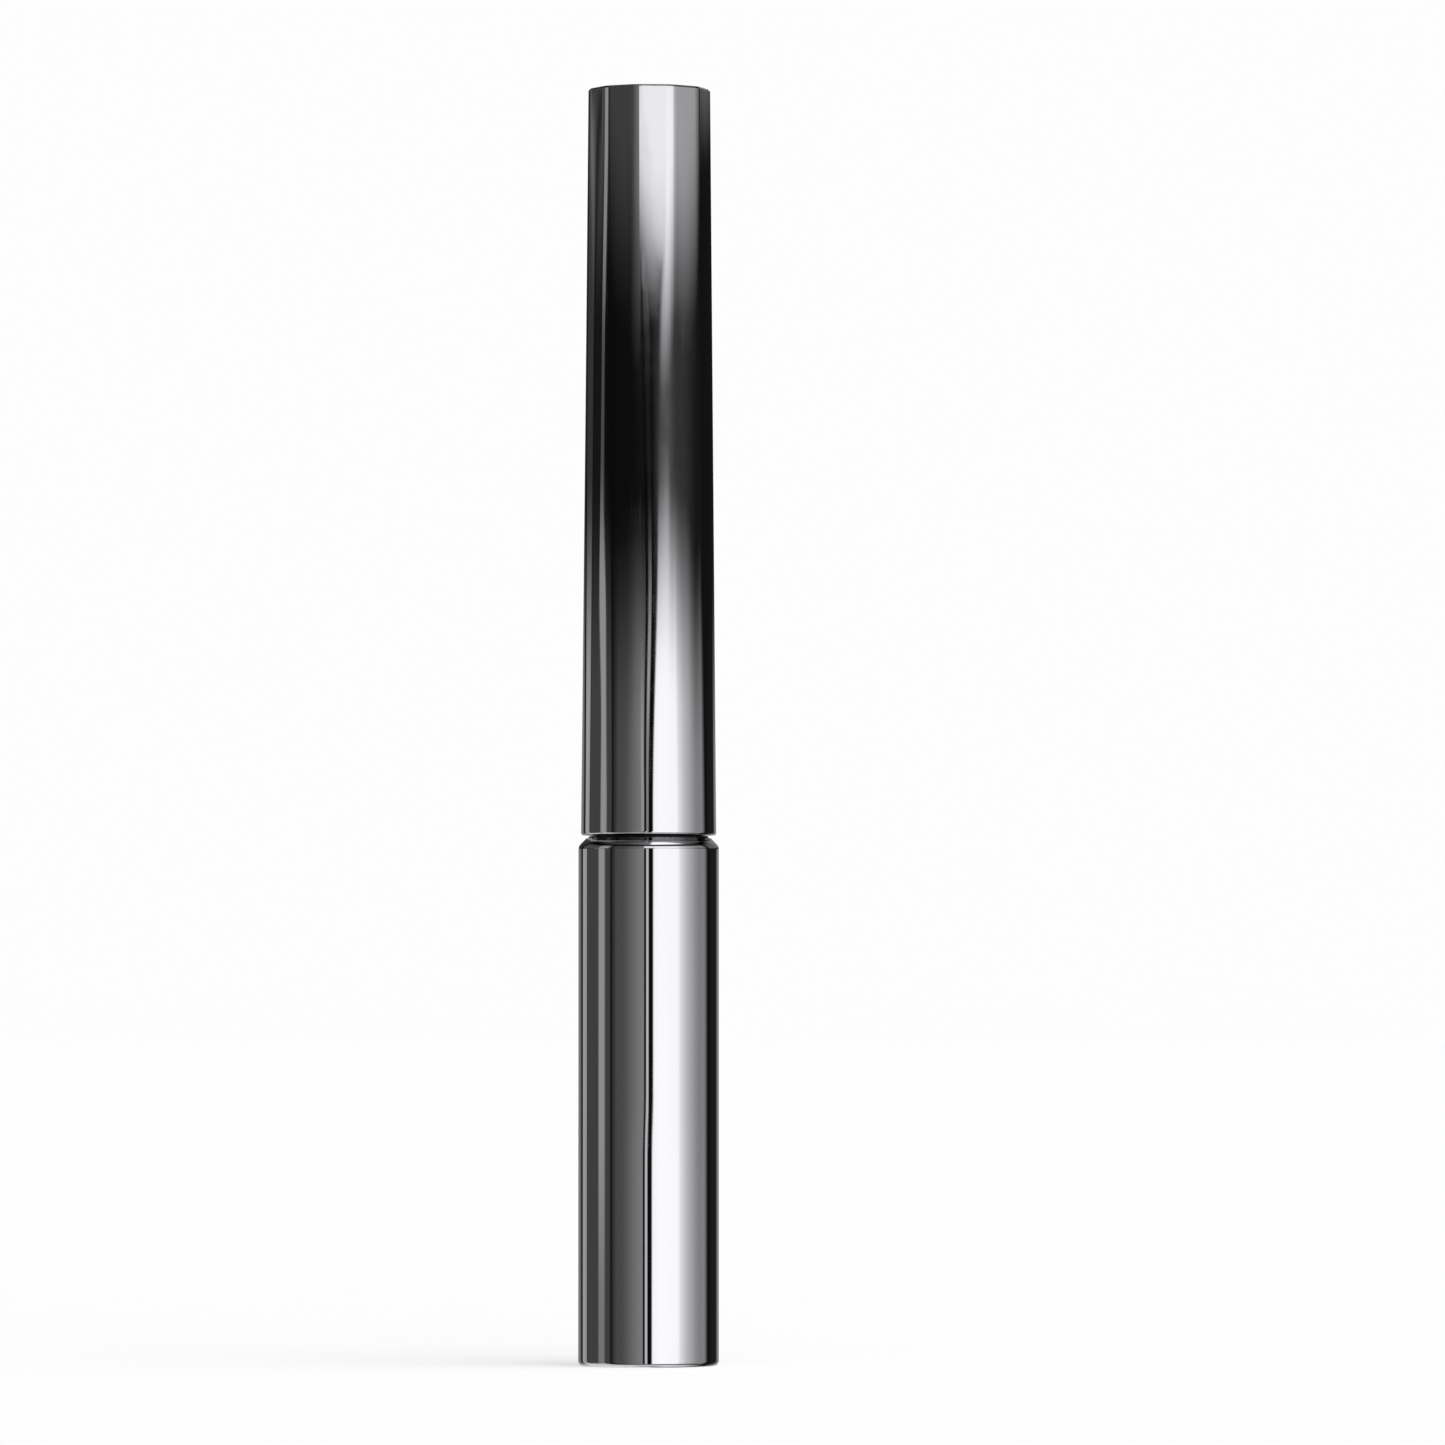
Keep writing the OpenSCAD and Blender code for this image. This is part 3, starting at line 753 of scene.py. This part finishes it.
def build_floor():
    """A pale sheet just below the base that reaches far behind the object."""
    half, drop = 20.0, 0.02 * MM
    mesh = bpy.data.meshes.new("studio_floor")
    mesh.from_pydata([(x * half, y * half, -drop) for x, y in ((-1, -1), (1, -1), (1, 1), (-1, 1))],
                     [], [(0, 1, 2, 3)])
    floor = bpy.data.objects.new("studio_floor", mesh)
    bpy.context.scene.collection.objects.link(floor)
    paper = bpy.data.materials.new("pale_paper")
    paper.use_nodes = True
    bsdf = paper.node_tree.nodes["Principled BSDF"]
    bsdf.inputs["Base Color"].default_value = (0.5, 0.5, 0.5, 1)
    bsdf.inputs["Roughness"].default_value = 0.9
    bsdf.inputs["Specular IOR Level"].default_value = 0.0
    # A sheet lit from below, which keeps the object's shadow faint.
    bsdf.inputs["Emission Color"].default_value = (1, 1, 1, 1)
    bsdf.inputs["Emission Strength"].default_value = 0.61
    mesh.materials.append(paper)
    # The polished metal mirrors the panels alone, down to its foot.
    floor.visible_glossy = False


def build_light():
    """One broad, distant light from above the camera's right, for an even floor and a soft shadow."""
    lamp = bpy.data.lights.new("overhead_softbox", "SUN")
    lamp.angle, lamp.energy = math.radians(60), 0.8
    softbox = bpy.data.objects.new("overhead_softbox", lamp)
    softbox.location = (0.3, -0.3, 1.0)
    softbox.rotation_euler = (math.radians(18), math.radians(14), 0)
    softbox.visible_glossy = False
    bpy.context.scene.collection.objects.link(softbox)


def build_camera():
    """A quarter of the way up the object and looking up at its middle; the tube stands left of centre."""
    distance, frame_width, sensor = 0.9, 0.1409, 36.0
    across, up = 0.0072, 0.033
    lens = bpy.data.cameras.new("photo_camera")
    lens.sensor_width = sensor
    lens.lens = sensor * distance / frame_width
    camera = bpy.data.objects.new("photo_camera", lens)
    camera.location = (across, -distance, up)
    camera.rotation_euler = (math.radians(90 + LOOK_UP), 0, 0)
    bpy.context.scene.collection.objects.link(camera)
    bpy.context.scene.camera = camera


build_studio()
build_floor()
build_light()
build_camera()
bpy.context.scene.view_settings.view_transform = "Standard"
